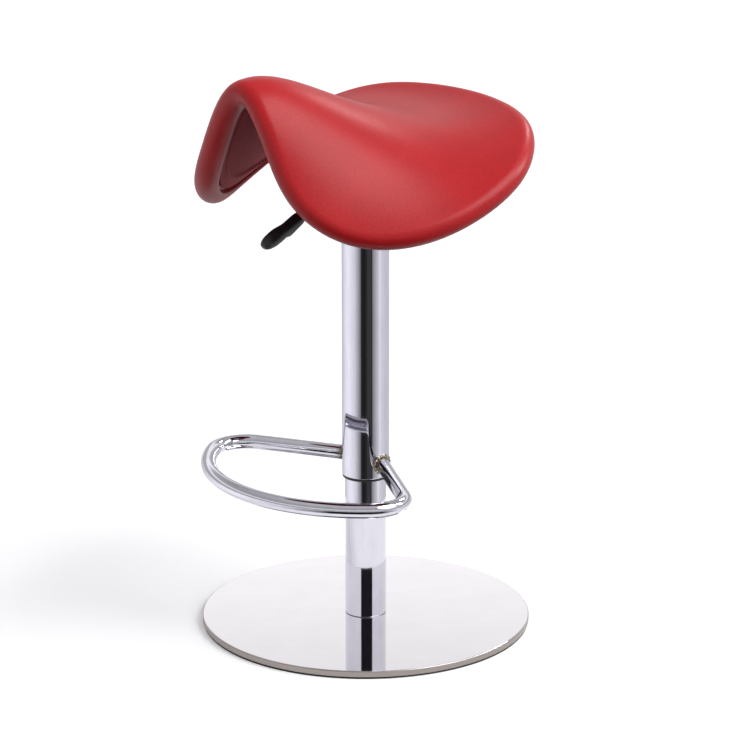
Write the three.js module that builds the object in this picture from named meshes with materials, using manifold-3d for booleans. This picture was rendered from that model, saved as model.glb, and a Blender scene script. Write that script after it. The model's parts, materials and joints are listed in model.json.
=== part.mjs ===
// Saddle-seat stool with a foot ring. A round floor plate carries a fixed lower tube. Inside it stands a
// gas spring, and the seat, the outer sleeve and the foot ring rise, sink and turn on that spring.
// Millimetres, +Z up. The origin is on the floor under the column, and the rider faces -Y.

import * as THREE from 'three';
import { mergeVertices } from 'three/addons/utils/BufferGeometryUtils.js';
import { ParametricGeometry } from 'three/addons/geometries/ParametricGeometry.js';
import Module from 'manifold-3d';

const wasm = await Module();
wasm.setup();

// ---- Driving dimensions ----

const gap = 0.3;                  // between pieces that touch or sit in one another

const baseRadius = 200;           // floor plate
const padThickness = 1.7;         // rubber sheet under the plate
const padInset = 1;               // from the plate's side to the sheet's
const plateThickness = 8;
const plateBottom = padThickness + gap;
const plateTop = plateBottom + plateThickness;

const lowerTubeRadius = 25;
const lowerTubeWall = 2;
const lowerTubeTop = 330;

const sleeveRadius = 28.5;        // outer telescopic sleeve
const sleeveWall = 1.5;
const sleeveBottom = 189;
const sleeveTop = 561.7;

const rodRadius = 5;
const cylinderRadius = 14;
const cylinderBore = 11;
const cylinderBottom = 205;       // at the top of the travel
const cylinderTop = 566;
const taperLength = 44;           // cone that holds the cylinder in its socket
const taperShrink = 0.7;          // the cone's loss of radius over that length

const ringTubeRadius = 9;         // foot ring
const ringHeight = 206;
const ringBowRadius = 187;        // front bow, to the middle of the tube
const ringBowCentre = -4.3;
const ringCornerRadius = 41;
const ringLegAngle = 61;          // degrees between a leg and the forward direction
const ringLegOffset = 15.6;       // each leg's line passes this far behind the column's axis

const channelBottom = 562;        // U-shaped steel channel that holds the release lever
const channelHalfWidth = 35;
const channelHalfLength = 50;
const channelWall = 3;
const mountPlateBottom = 594.7;   // flat plate between the channel and the seat
const mountPlateThickness = 3;
const mountPlateHalf = 70;
const seatScrewOffset = 50;       // seat screws, in X and in Y

const pivotY = -30;               // release lever's hinge
const pivotHeight = 579.8;
const pinTravel = 3.7;            // room under the release pin

const seatCrown = 52;             // swell of the seat's middle above a film stretched over its edge
const seatCrownForward = 60;      // more swell towards the front, less towards the back
const seatHalf = 15;              // half the thickness of the seat's edge
const lipWidth = 5;              // flat of the edge seen from below
const recess = 9;                 // step up from the edge to the foam over the shell
const shellThickness = 5;
const shellInset = 12;            // from the edge's middle line to the shell's own edge

// Middle line of the seat's edge on the +X side, from the middle of the front to the middle of the back.
const rimHalf = [
  [0, -177, 685], [35, -177, 659], [62, -175, 612], [92, -165, 568], [129, -130, 537],
  [167, -74, 533], [189, -7, 553], [186, 60, 583], [149, 113, 609], [88, 146, 622], [0, 159, 625],
];

// ---- Materials ----

const finish = (color, metalness, roughness) =>
  new THREE.MeshStandardMaterial({ color, metalness, roughness });
const chrome = finish(0xdcdde0, 1, 0.07);
const stainless = finish(0xc9cacc, 1, 0.14);
const zincSteel = finish(0xb9bcc0, 1, 0.35);
const darkSteel = finish(0x3b3d40, 1, 0.45);
const blackPlastic = finish(0x17181a, 0, 0.45);
const nylon = finish(0x24262a, 0, 0.55);
const rubber = finish(0x1b1b1c, 0, 0.85);
const brass = finish(0xb99a52, 1, 0.3);
const redFoam = finish(0xbf2a2e, 0, 0.42);
const redShell = finish(0x6d171b, 0, 0.3);

// ---- Geometry helpers ----

// Merges the corners that lie together, drops faces with no area and turns the faces outwards.
function closed(source) {
  const bare = source.index ? source.clone() : source;
  for (const name of Object.keys(bare.attributes)) {
    if (name !== 'position') bare.deleteAttribute(name);
  }
  const merged = mergeVertices(bare, 1e-4);
  const index = merged.index.array;
  const faces = [];
  for (let i = 0; i < index.length; i += 3) {
    const [a, b, c] = [index[i], index[i + 1], index[i + 2]];
    if (a !== b && b !== c && c !== a) faces.push([a, b, c]);
  }
  const corner = (i) => new THREE.Vector3().fromBufferAttribute(merged.attributes.position, i);
  let volume = 0;
  for (const [a, b, c] of faces) volume += corner(a).dot(corner(b).cross(corner(c)));
  const ordered = volume > 0 ? faces : faces.map(([a, b, c]) => [a, c, b]);
  merged.setIndex(ordered.flat());
  return merged;
}

function toSolid(geometry) {
  const merged = closed(geometry);
  const vertProperties = new Float32Array(merged.attributes.position.array);
  const triVerts = new Uint32Array(merged.index.array);
  return new wasm.Manifold(new wasm.Mesh({ numProp: 3, vertProperties, triVerts }));
}

function toGeometry(solid) {
  const { vertProperties, triVerts } = solid.getMesh();
  const geometry = new THREE.BufferGeometry();
  geometry.setAttribute('position', new THREE.Float32BufferAttribute(vertProperties, 3));
  geometry.setIndex(new THREE.Uint32BufferAttribute(triVerts, 1));
  return geometry;
}

const cut = (body, ...tools) =>
  toGeometry(tools.reduce((solid, tool) => solid.subtract(toSolid(tool)), toSolid(body)));
const join = (body, ...others) =>
  toGeometry(others.reduce((solid, other) => solid.add(toSolid(other)), toSolid(body)));

// Turns a profile of [radius, height] points about the Z axis.
function turned(profile, segments = 32) {
  const points = profile.map(([radius, height]) => new THREE.Vector2(radius, height));
  return closed(new THREE.LatheGeometry(points, segments).rotateX(Math.PI / 2));
}

function disc(radius, bottom, top, segments = 32) {
  return turned([[0, bottom], [radius, bottom], [radius, top], [0, top]], segments);
}

function tube(inner, outer, bottom, top, segments = 32, edge = 0) {
  return turned([
    [inner, bottom], [outer - edge, bottom], [outer, bottom + edge],
    [outer, top - edge], [outer - edge, top], [inner, top], [inner, bottom],
  ], segments);
}

function block(minX, maxX, minY, maxY, bottom, top) {
  const box = new THREE.BoxGeometry(maxX - minX, maxY - minY, top - bottom);
  return box.translate((minX + maxX) / 2, (minY + maxY) / 2, (bottom + top) / 2);
}

// A round bar along X, or a hole through a piece along X.
function crossBar(radius, minX, maxX, y, z, segments = 16) {
  const bar = new THREE.CylinderGeometry(radius, radius, maxX - minX, segments);
  return bar.rotateZ(Math.PI / 2).translate((minX + maxX) / 2, y, z);
}

// A flat plate with round corners, standing on the height bottom.
function roundedPlate(halfX, halfY, corner, bottom, thickness) {
  const outline = new THREE.Shape();
  outline.moveTo(halfX, corner - halfY);
  outline.absarc(halfX - corner, halfY - corner, corner, 0, Math.PI / 2);
  outline.absarc(corner - halfX, halfY - corner, corner, Math.PI / 2, Math.PI);
  outline.absarc(corner - halfX, corner - halfY, corner, Math.PI, 1.5 * Math.PI);
  outline.absarc(halfX - corner, corner - halfY, corner, 1.5 * Math.PI, 2 * Math.PI);
  const plate = new THREE.ExtrudeGeometry(outline, { depth: thickness, bevelEnabled: false, curveSegments: 5 });
  return plate.translate(0, 0, bottom);
}

const stool = new THREE.Group();

function addPiece(name, geometry, material, x = 0, y = 0, z = 0) {
  const mesh = new THREE.Mesh(closed(geometry), material);
  mesh.name = name;
  mesh.position.set(x, y, z);
  stool.add(mesh);
  return mesh;
}

// Corners of a square pattern, in order round the axis.
const squareCorners = (offset) => [[offset, -offset], [offset, offset], [-offset, offset], [-offset, -offset]];

// ---- Floor plate and lower tube ----

const footScrewOffset = 10.6;
const footScrewRadius = 3;
const footScrewHeadRadius = 5.8;
const footTop = 26;
const clipPocketRadius = 8.6;
const clipPocketTop = 17;
const tubeInner = lowerTubeRadius - lowerTubeWall;

function floorPlate() {
  const edge = 1.5;
  const plate = turned([
    [0, plateBottom], [baseRadius - edge, plateBottom], [baseRadius, plateBottom + edge],
    [baseRadius, plateTop - edge], [baseRadius - edge / 3, plateTop - edge / 3],
    [baseRadius - edge, plateTop], [0, plateTop],
  ], 72);
  const holes = squareCorners(footScrewOffset).map(([x, y]) => {
    const hole = turned([
      [0, plateBottom - 1], [footScrewHeadRadius + gap, plateBottom - 1],
      [footScrewHeadRadius + gap, plateBottom + 1], [footScrewRadius + gap, plateBottom + 4],
      [footScrewRadius + gap, plateTop + 1], [0, plateTop + 1],
    ], 10);
    return hole.translate(x, y, 0);
  });
  return cut(plate, ...holes);
}

// Plug welded into the foot of the lower tube: screwed down from under the plate, with the rod through it.
function tubeFoot() {
  const plug = tube(rodRadius + gap, tubeInner - gap, plateTop + gap, footTop, 28);
  const pocket = disc(clipPocketRadius, plateTop - 1, clipPocketTop, 20);
  const holes = squareCorners(footScrewOffset).map(([x, y]) =>
    disc(footScrewRadius + gap, plateTop - 1, footTop - 2, 10).translate(x, y, 0));
  return cut(plug, pocket, ...holes);
}

function footScrew() {
  const top = footTop - 3.5;
  const screw = turned([
    [0, plateBottom + gap], [footScrewHeadRadius, plateBottom + gap], [footScrewHeadRadius, plateBottom + 1],
    [footScrewRadius, plateBottom + 4], [footScrewRadius, top - 1], [footScrewRadius - 1, top], [0, top],
  ], 10);
  const socket = new THREE.CylinderGeometry(2.3, 2.3, 5, 6).rotateX(Math.PI / 2);
  return cut(screw, socket.translate(0, 0, plateBottom + gap));
}

addPiece('floor_pad', disc(baseRadius - padInset, 0, padThickness, 64), rubber);
addPiece('base_plate', floorPlate(), stainless);
addPiece('lower_tube', tube(tubeInner, lowerTubeRadius, plateTop + gap, lowerTubeTop, 56), chrome);
addPiece('tube_foot', tubeFoot(), zincSteel);
squareCorners(footScrewOffset).forEach(([x, y], i) => {
  addPiece(`base_screw_${i + 1}`, footScrew(), zincSteel, x, y);
});

// Nylon bush in the mouth of the lower tube, in which the cylinder slides and turns.
const bushLength = 90;
const bushLip = 2.7;

function guideBush() {
  const inner = cylinderRadius + gap;
  const foot = lowerTubeTop - bushLength;
  const lipBottom = lowerTubeTop + gap;
  return turned([
    [inner, foot], [tubeInner - gap, foot], [tubeInner - gap, lipBottom], [lowerTubeRadius - 0.4, lipBottom],
    [lowerTubeRadius - 0.4, lipBottom + bushLip - 1], [lowerTubeRadius - 1.4, lipBottom + bushLip],
    [inner, lipBottom + bushLip], [inner, foot],
  ], 32);
}

addPiece('guide_bush', guideBush(), nylon);

// ---- Thrust bearing and rod of the gas spring ----

const washerThickness = 2;
const raceRadius = 11;
const ballRadius = 2.4;
const ballCount = 8;
const ballTrack = 13;
const lowerWasherBottom = footTop + gap;
const cageMiddle = lowerWasherBottom + washerThickness + gap + ballRadius;
const upperWasherBottom = cageMiddle + ballRadius + gap;
const bumpBottom = upperWasherBottom + washerThickness + gap;
const sealTop = cylinderBottom + 15;
const pistonBottom = sealTop + 2;
const pistonTop = pistonBottom + 12;

// Balls of the thrust bearing in the flat cage that keeps them apart.
function ballCage() {
  const cage = tube(raceRadius - 1.5, ballTrack + 4, cageMiddle - 0.8, cageMiddle + 0.8, 24);
  const balls = Array.from({ length: ballCount }, (_, i) => {
    const angle = (i / ballCount) * 2 * Math.PI;
    const ball = new THREE.SphereGeometry(ballRadius, 8, 6).rotateX(Math.PI / 2);
    return ball.translate(ballTrack * Math.cos(angle), ballTrack * Math.sin(angle), cageMiddle);
  });
  return join(cage, ...balls);
}

// Piston rod with the groove for its retaining clip at the foot and a neck for the piston at the top.
const rodNeck = 3.4;
const clipBottom = plateTop + 3;
const clipThickness = 1.5;

function pistonRod() {
  const clipTop = clipBottom + clipThickness + gap;
  return turned([
    [0, plateTop + 0.9], [rodRadius - 0.6, plateTop + 0.9], [rodRadius, plateTop + 1.5],
    [rodRadius, clipBottom - gap], [rodNeck, clipBottom - gap], [rodNeck, clipTop], [rodRadius, clipTop],
    [rodRadius, pistonBottom - gap], [rodNeck, pistonBottom - gap], [rodNeck, pistonTop], [0, pistonTop],
  ], 20);
}

addPiece('bearing_washer_lower', tube(rodRadius + gap, 18, lowerWasherBottom,
  lowerWasherBottom + washerThickness, 24), zincSteel);
addPiece('bearing_ball_cage', ballCage(), brass);
addPiece('bearing_washer_upper', tube(rodRadius + gap, 18, upperWasherBottom,
  upperWasherBottom + washerThickness, 24), zincSteel);
addPiece('bump_stop', tube(rodRadius + gap, 12, bumpBottom, bumpBottom + 6, 20, 1), rubber);
addPiece('gas_spring_rod', pistonRod(), chrome);
addPiece('rod_clip', tube(rodNeck + gap, 8, clipBottom, clipBottom + clipThickness, 16), darkSteel);
addPiece('gas_piston', tube(rodNeck + gap, cylinderBore - gap, pistonBottom, pistonTop, 20), darkSteel);

// ---- Cylinder of the gas spring ----

const releaseRadius = 3;
const releaseFoot = 536;
const releaseTop = 573.3;

function gasCylinder() {
  const ceiling = 515;
  const topRadius = cylinderRadius - taperShrink;
  const cylinder = turned([
    [cylinderBore, cylinderBottom], [cylinderRadius - 1, cylinderBottom], [cylinderRadius, cylinderBottom + 1],
    [cylinderRadius, cylinderTop - taperLength], [topRadius, cylinderTop - 1], [topRadius - 1, cylinderTop],
    [0, cylinderTop], [0, ceiling], [cylinderBore, ceiling], [cylinderBore, cylinderBottom],
  ], 32);
  return cut(cylinder, disc(releaseRadius + gap, releaseFoot - pinTravel - 1, cylinderTop + 1, 16));
}

addPiece('gas_cylinder', gasCylinder(), darkSteel);
addPiece('rod_seal', tube(rodRadius + gap, cylinderBore - gap, cylinderBottom, sealTop, 20), nylon);
// Its tip is chamfered, so that the tilting rocker presses on the middle of it.
function releasePin() {
  const chamfer = 1.6;
  return turned([
    [0, releaseFoot], [releaseRadius, releaseFoot], [releaseRadius, releaseTop - chamfer],
    [releaseRadius - chamfer, releaseTop], [0, releaseTop],
  ], 16);
}

addPiece('release_pin', releasePin(), zincSteel);

// ---- Sleeve, its bush, its flange and the foot ring ----

const sleeveInner = sleeveRadius - sleeveWall;
const flangeBottom = 556;
const flangeRadius = 46;
const flangeScrewOffset = 26.9;   // in X and in Y
const flangeScrewRadius = 2.5;

function sleeveBush() {
  const inner = lowerTubeRadius + gap;
  const lip = 3;
  return turned([
    [inner, sleeveBottom - gap - lip], [sleeveRadius - 1.2, sleeveBottom - gap - lip],
    [sleeveRadius - 0.4, sleeveBottom - gap - lip + 0.8], [sleeveRadius - 0.4, sleeveBottom - gap],
    [sleeveInner - gap, sleeveBottom - gap], [sleeveInner - gap, sleeveBottom + 20],
    [inner, sleeveBottom + 20], [inner, sleeveBottom - gap - lip],
  ], 56);
}

function sleeveFlange() {
  const flange = tube(sleeveRadius + gap, flangeRadius, flangeBottom, sleeveTop, 40);
  const holes = squareCorners(flangeScrewOffset).map(([x, y]) =>
    disc(flangeScrewRadius + gap, flangeBottom - 1, sleeveTop + 1, 10).translate(x, y, 0));
  return cut(flange, ...holes);
}

// A round-headed screw driven upwards, with its head under the height seat.
function panScrew(shankRadius, headRadius, headHeight, seat, top) {
  const screw = turned([
    [0, seat - headHeight], [headRadius * 0.7, seat - headHeight], [headRadius, seat - headHeight * 0.55],
    [headRadius, seat], [shankRadius, seat], [shankRadius, top - 0.8], [shankRadius - 0.8, top], [0, top],
  ], 10);
  const socket = new THREE.CylinderGeometry(shankRadius * 0.7, shankRadius * 0.7, headHeight * 1.2, 6);
  return cut(screw, socket.rotateX(Math.PI / 2).translate(0, 0, seat - headHeight));
}

// Plan of the foot ring: two legs that spread from the sleeve, two round corners and a front bow.
function ringPlan() {
  const angle = THREE.MathUtils.degToRad(ringLegAngle);
  const along = new THREE.Vector2(Math.sin(angle), -Math.cos(angle));
  const behind = new THREE.Vector2(Math.cos(angle), Math.sin(angle));
  const bowCentre = new THREE.Vector2(0, ringBowCentre);
  const onLeg = (offset, distance) => behind.clone().multiplyScalar(offset).addScaledVector(along, distance);

  // The corner's centre lies one corner radius inside the leg and inside the bow.
  const from = onLeg(ringLegOffset - ringCornerRadius, 0).sub(bowCentre);
  const reach = ringBowRadius - ringCornerRadius;
  const half = from.dot(along);
  const distance = -half + Math.sqrt(half * half - from.lengthSq() + reach * reach);
  const corner = onLeg(ringLegOffset - ringCornerRadius, distance);
  const bowAngle = corner.clone().sub(bowCentre).angle();
  const legAngle = behind.angle();
  const start = onLeg(ringLegOffset, 14);
  const bend = onLeg(ringLegOffset, distance);

  const plan = new THREE.Path();
  plan.moveTo(start.x, start.y);
  plan.lineTo(bend.x, bend.y);
  plan.absarc(corner.x, corner.y, ringCornerRadius, legAngle, bowAngle - 2 * Math.PI, true);
  plan.absarc(0, ringBowCentre, ringBowRadius, bowAngle, 3 * Math.PI - bowAngle, true);
  plan.absarc(-corner.x, corner.y, ringCornerRadius, 3 * Math.PI - bowAngle, Math.PI - legAngle, true);
  plan.lineTo(-start.x, start.y);
  return plan;
}

class FlatCurve extends THREE.Curve {
  constructor(plan, height) {
    super();
    this.plan = plan;
    this.height = height;
  }

  getPoint(t) {
    const point = this.plan.getPoint(t);
    return new THREE.Vector3(point.x, point.y, this.height);
  }
}

function bentBar(radius, path, steps, sides) {
  const section = new THREE.Shape().absarc(0, 0, radius, 0, 2 * Math.PI);
  return new THREE.ExtrudeGeometry(section, {
    extrudePath: path, steps, curveSegments: sides / 2, bevelEnabled: false,
  });
}

function footRing() {
  const loop = bentBar(ringTubeRadius, new FlatCurve(ringPlan(), ringHeight), 66, 12);
  return cut(loop, disc(sleeveRadius + gap, ringHeight - 20, ringHeight + 20, 56));
}

addPiece('sleeve_tube', tube(sleeveInner, sleeveRadius, sleeveBottom, sleeveTop, 56), chrome);
addPiece('sleeve_bush', sleeveBush(), blackPlastic);
addPiece('foot_ring', footRing(), chrome);
addPiece('sleeve_flange', sleeveFlange(), zincSteel);
squareCorners(flangeScrewOffset).forEach(([x, y], i) => {
  const screw = panScrew(flangeScrewRadius, 4.6, 3, flangeBottom - gap, channelBottom + 3.2);
  addPiece(`flange_screw_${i + 1}`, screw, darkSteel, x, y);
});

// ---- Socket, channel and mounting plate ----

const socketRadius = 19;
const channelFloor = 4;
const channelTop = mountPlateBottom - gap;
const pivotRadius = 3;

function taperSocket() {
  const foot = cylinderTop - taperLength - 2;
  const mouth = cylinderRadius + gap;
  return turned([
    [mouth, foot], [socketRadius - 1, foot], [socketRadius, foot + 1], [socketRadius, cylinderTop],
    [mouth - taperShrink, cylinderTop], [mouth, foot + 2], [mouth, foot],
  ], 32);
}

function leverChannel() {
  const outer = block(-channelHalfWidth, channelHalfWidth, -channelHalfLength, channelHalfLength,
    channelBottom, channelTop);
  const inside = channelHalfWidth - channelWall;
  const trough = block(-inside, inside, -channelHalfLength - 1, channelHalfLength + 1,
    channelBottom + channelFloor, channelTop + 1);
  const socketHole = disc(socketRadius + gap, channelBottom - 1, channelBottom + channelFloor + 1, 32);
  const pivotHole = crossBar(pivotRadius + gap, -channelHalfWidth - 1, channelHalfWidth + 1, pivotY, pivotHeight);
  const screwHoles = squareCorners(flangeScrewOffset).map(([x, y]) =>
    disc(flangeScrewRadius + gap, channelBottom - 1, channelBottom + channelFloor + 1, 10).translate(x, y, 0));
  return cut(outer, trough, socketHole, pivotHole, ...screwHoles);
}

const seatScrewRadius = 3;

function mountPlate() {
  const plate = roundedPlate(mountPlateHalf, mountPlateHalf, 14, mountPlateBottom, mountPlateThickness);
  const holes = squareCorners(seatScrewOffset).map(([x, y]) =>
    disc(seatScrewRadius + 0.5, mountPlateBottom - 1, mountPlateBottom + mountPlateThickness + 1, 12)
      .translate(x, y, 0));
  return cut(plate, ...holes);
}

addPiece('taper_socket', taperSocket(), darkSteel);
addPiece('lever_channel', leverChannel(), darkSteel);
addPiece('mount_plate', mountPlate(), darkSteel);

// ---- Release lever ----

const rockerHalfWidth = 6;
const rockerFront = -46;
const rockerBack = 9;
const rockerBottom = releaseTop + gap;
const rockerTop = 586;
const leverRadius = 4;
const leverStart = -37;
const gripStart = new THREE.Vector3(23.2, -119.2, 532.7);
const gripEnd = new THREE.Vector3(35.5, -184, 511);
const gripRadius = 8.5;

function leverRocker() {
  const body = block(-rockerHalfWidth, rockerHalfWidth, rockerFront, rockerBack, rockerBottom, rockerTop);
  const pivotHole = crossBar(pivotRadius + gap, -rockerHalfWidth - 1, rockerHalfWidth + 1, pivotY, pivotHeight);
  const leverHole = new THREE.CylinderGeometry(leverRadius + gap, leverRadius + gap, 10, 20)
    .translate(0, rockerFront + 4, pivotHeight);
  return cut(body, pivotHole, leverHole);
}

function leverRod() {
  const grip = gripEnd.clone().sub(gripStart).normalize();
  const path = new THREE.CurvePath();
  const bendStart = new THREE.Vector3(0, -54, pivotHeight);
  const bendCorner = new THREE.Vector3(0, -66, pivotHeight);
  const knee = gripStart.clone().addScaledVector(grip, -10);
  const slope = knee.clone().sub(bendCorner).normalize();
  const bendEnd = bendCorner.clone().addScaledVector(slope, 12);
  const kneeStart = knee.clone().addScaledVector(slope, -8);
  const kneeEnd = knee.clone().addScaledVector(grip, 8);
  path.add(new THREE.LineCurve3(new THREE.Vector3(0, leverStart, pivotHeight), bendStart));
  path.add(new THREE.QuadraticBezierCurve3(bendStart, bendCorner, bendEnd));
  path.add(new THREE.LineCurve3(bendEnd, kneeStart));
  path.add(new THREE.QuadraticBezierCurve3(kneeStart, knee, kneeEnd));
  path.add(new THREE.LineCurve3(kneeEnd, gripStart.clone().addScaledVector(grip, 40)));
  return bentBar(leverRadius, path, 24, 10);
}

// Moulded handle: a long rounded body with a hole for the rod, wider than it is thick.
function leverGrip() {
  const length = gripEnd.distanceTo(gripStart);
  const handle = turned([
    [0, 0], [gripRadius * 0.72, 0], [gripRadius * 0.85, 2], [gripRadius * 0.8, length * 0.3],
    [gripRadius, length * 0.5], [gripRadius, length * 0.8], [gripRadius * 0.8, length * 0.94],
    [gripRadius * 0.45, length * 0.99], [0, length],
  ], 16).scale(1.12, 0.9, 1);
  const hole = disc(leverRadius + gap, -1, 41, 20);
  const grip = cut(handle, hole);
  const axis = gripEnd.clone().sub(gripStart).normalize();
  const turn = new THREE.Quaternion().setFromUnitVectors(new THREE.Vector3(0, 0, 1), axis);
  return grip.applyQuaternion(turn).translate(gripStart.x, gripStart.y, gripStart.z);
}

function pivotPin() {
  const reach = channelHalfWidth + 3;
  const pin = crossBar(pivotRadius, -reach, reach, pivotY, pivotHeight);
  const head = crossBar(5, channelHalfWidth + gap, reach, pivotY, pivotHeight);
  return join(pin, head);
}

addPiece('lever_rocker', leverRocker(), zincSteel);
addPiece('lever_rod', leverRod(), chrome);
addPiece('lever_grip', leverGrip(), blackPlastic);
addPiece('lever_pivot_pin', pivotPin(), zincSteel);
for (const [side, name] of [[1, 'left'], [-1, 'right']]) {
  const inside = channelHalfWidth - channelWall;
  const spacer = tube(pivotRadius + gap, 6, rockerHalfWidth + gap, inside - gap, 16)
    .rotateY(side * Math.PI / 2).translate(0, pivotY, pivotHeight);
  addPiece(`pivot_spacer_${name}`, spacer, nylon);
}

// ---- Seat ----

const mirrored = rimHalf.slice(1, -1).reverse().map(([x, y, z]) => [-x, y, z]);
const rimCurve = new THREE.CatmullRomCurve3(
  [...rimHalf, ...mirrored].map((point) => new THREE.Vector3(...point)), true, 'catmullrom', 0.5);

// The edge as a sum of waves round it. Each wave dies away towards the middle as that power of the
// distance, which stretches a smooth layer over the edge like a film on a wire.
const waveCount = 12;
const edgeSamples = Array.from({ length: 192 }, (_, i) => i / 192);

function waves(axis, shape) {
  return Array.from({ length: waveCount + 1 }, (_, wave) => {
    const sum = edgeSamples.reduce((total, t) => {
      return total + rimCurve.getPoint(t)[axis] * shape(2 * Math.PI * wave * t);
    }, 0);
    return (wave === 0 ? 1 : 2) * sum / edgeSamples.length;
  });
}

const wavesX = waves('x', Math.sin);
const wavesY = waves('y', Math.cos);
const wavesZ = waves('z', Math.cos);

// Middle layer of the seat: spread is 0 in the middle and 1 on the edge, and t runs round the edge.
function seatLayer(spread, t) {
  const film = (amounts, shape) =>
    amounts.reduce((sum, amount, wave) => sum + amount * spread ** wave * shape(2 * Math.PI * wave * t), 0);
  const swell = seatCrown + seatCrownForward * spread * Math.cos(2 * Math.PI * t);
  return new THREE.Vector3(
    film(wavesX, Math.sin), film(wavesY, Math.cos), film(wavesZ, Math.cos) + swell * (1 - spread * spread));
}

function seatFrame(spread, t) {
  const step = 1e-4;
  const reach = Math.max(spread, 0.02);
  const round = seatLayer(reach, t + step).sub(seatLayer(reach, t - step)).normalize();
  const out = seatLayer(reach + step, t).sub(seatLayer(reach - step, t)).normalize();
  const up = out.clone().cross(round).normalize();
  const outward = round.clone().cross(up).normalize();
  return { point: seatLayer(spread, t), up, outward };
}

// A station is a place on the seat's cross-section: spread, inset in mm from the rim, and the offset
// from the middle layer along its normal (lift) and outwards (bulge).
function seatSkin(stations, slices) {
  const middleUp = seatFrame(0, 0).up;
  const place = (u, v, target) => {
    const station = stations[Math.round(v * (stations.length - 1))];
    const edge = seatLayer(1, u);
    const depth = seatLayer(0.9, u).distanceTo(edge) / 0.1;
    const spread = station.spread - (station.inset ?? 0) / depth;
    const frame = seatFrame(spread, u);
    const up = station.spread === 0 ? middleUp : frame.up;
    target.copy(frame.point).addScaledVector(up, station.lift).addScaledVector(frame.outward, station.bulge ?? 0);
  };
  return closed(new ParametricGeometry(place, slices, stations.length - 1));
}

const seatSlices = 48;
const topSpreads = [0, 0.12, 0.25, 0.38, 0.5, 0.62, 0.73, 0.83, 0.92];
const underSpreads = [0, 0.16, 0.33, 0.5, 0.66, 0.78];
const underLift = recess - seatHalf;
const shellLift = underLift - 0.4;

function seatCushion() {
  const top = topSpreads.map((spread) => ({ spread, lift: seatHalf }));
  const edge = [90, 60, 30, 0, -30, -60, -90].map((degrees) => {
    const angle = THREE.MathUtils.degToRad(degrees);
    return { spread: 1, lift: seatHalf * Math.sin(angle), bulge: seatHalf * Math.cos(angle) };
  });
  const lip = [
    { spread: 1, inset: lipWidth - 4, lift: -seatHalf },
    { spread: 1, inset: lipWidth, lift: 1 - seatHalf },
    { spread: 1, inset: lipWidth + 2, lift: underLift },
    { spread: 1, inset: shellInset, lift: underLift },
  ];
  const under = underSpreads.map((spread) => ({ spread, lift: underLift })).reverse();
  return seatSkin([...top, ...edge, ...lip, ...under], seatSlices);
}

// Moulded shell under the foam, with a flat-bottomed pad that the mounting plate screws to.
const padBottom = mountPlateBottom + mountPlateThickness + gap;
const insertTop = padBottom + 7;
const insertRadius = 4.6;

function seatShell() {
  const side = (lift) => underSpreads.map((spread) => ({ spread, lift }));
  const edge = (lift) => ({ spread: 1, inset: shellInset, lift });
  const lowLift = shellLift - shellThickness;
  const shell = seatSkin(
    [...side(lowLift), edge(lowLift), edge(shellLift), ...side(shellLift).reverse()], seatSlices);

  // The pad is cut from a slab that follows the top of the shell.
  const slabReach = underSpreads.length - 1;
  const slabFoot = side(shellLift - 60).slice(0, slabReach);
  const slabTop = side(shellLift).slice(0, slabReach).reverse();
  const slab = seatSkin([...slabFoot, ...slabTop], seatSlices);
  const column = roundedPlate(mountPlateHalf, mountPlateHalf, 14, padBottom, 80);
  const pad = toSolid(slab).intersect(toSolid(column));
  const holes = squareCorners(seatScrewOffset).map(([x, y]) =>
    disc(insertRadius + gap, padBottom - 1, insertTop + gap, 12).translate(x, y, 0));
  return cut(toGeometry(toSolid(shell).add(pad)), ...holes);
}

addPiece('seat_cushion', seatCushion(), redFoam);
addPiece('seat_shell', seatShell(), redShell);
squareCorners(seatScrewOffset).forEach(([x, y], i) => {
  const insert = tube(seatScrewRadius + gap, insertRadius, padBottom, insertTop, 12);
  const screw = panScrew(seatScrewRadius, 5.6, 3.4, mountPlateBottom - gap, insertTop - 0.5);
  addPiece(`seat_insert_${i + 1}`, insert, brass, x, y);
  addPiece(`seat_screw_${i + 1}`, screw, darkSteel, x, y);
});

export default stool;
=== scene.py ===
# Saddle-seat stool on a gas-lift column: the looks, built round the CAD frame.
# Shapes are worked out in millimetres and shrunk to metres when a piece is finished.

import json
import math

import bmesh
import bpy
import numpy as np
from mathutils import Matrix, Vector


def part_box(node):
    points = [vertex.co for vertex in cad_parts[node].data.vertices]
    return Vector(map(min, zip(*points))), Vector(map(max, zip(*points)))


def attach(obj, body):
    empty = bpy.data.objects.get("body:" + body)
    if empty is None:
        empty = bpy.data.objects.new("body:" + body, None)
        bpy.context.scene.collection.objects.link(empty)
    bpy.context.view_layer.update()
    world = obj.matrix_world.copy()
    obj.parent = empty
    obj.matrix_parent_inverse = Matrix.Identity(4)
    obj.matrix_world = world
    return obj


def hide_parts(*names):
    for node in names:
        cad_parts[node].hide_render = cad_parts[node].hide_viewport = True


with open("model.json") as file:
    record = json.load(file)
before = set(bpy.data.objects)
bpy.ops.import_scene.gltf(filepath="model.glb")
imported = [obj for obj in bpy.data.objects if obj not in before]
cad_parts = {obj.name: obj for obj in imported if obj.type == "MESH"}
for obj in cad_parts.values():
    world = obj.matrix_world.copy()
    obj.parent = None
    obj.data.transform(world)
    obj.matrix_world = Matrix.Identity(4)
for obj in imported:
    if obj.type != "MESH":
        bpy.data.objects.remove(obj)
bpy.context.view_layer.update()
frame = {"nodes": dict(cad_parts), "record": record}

scene = bpy.context.scene
bodyNodes = frame["record"]["behaviour"]["bodies"]
nodeBodies = {node: body for body, nodes in bodyNodes.items() for node in nodes}


# Helpers for shapes

def nodeBox(node):
    low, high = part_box(node)
    return low * 1000, high * 1000


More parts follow.
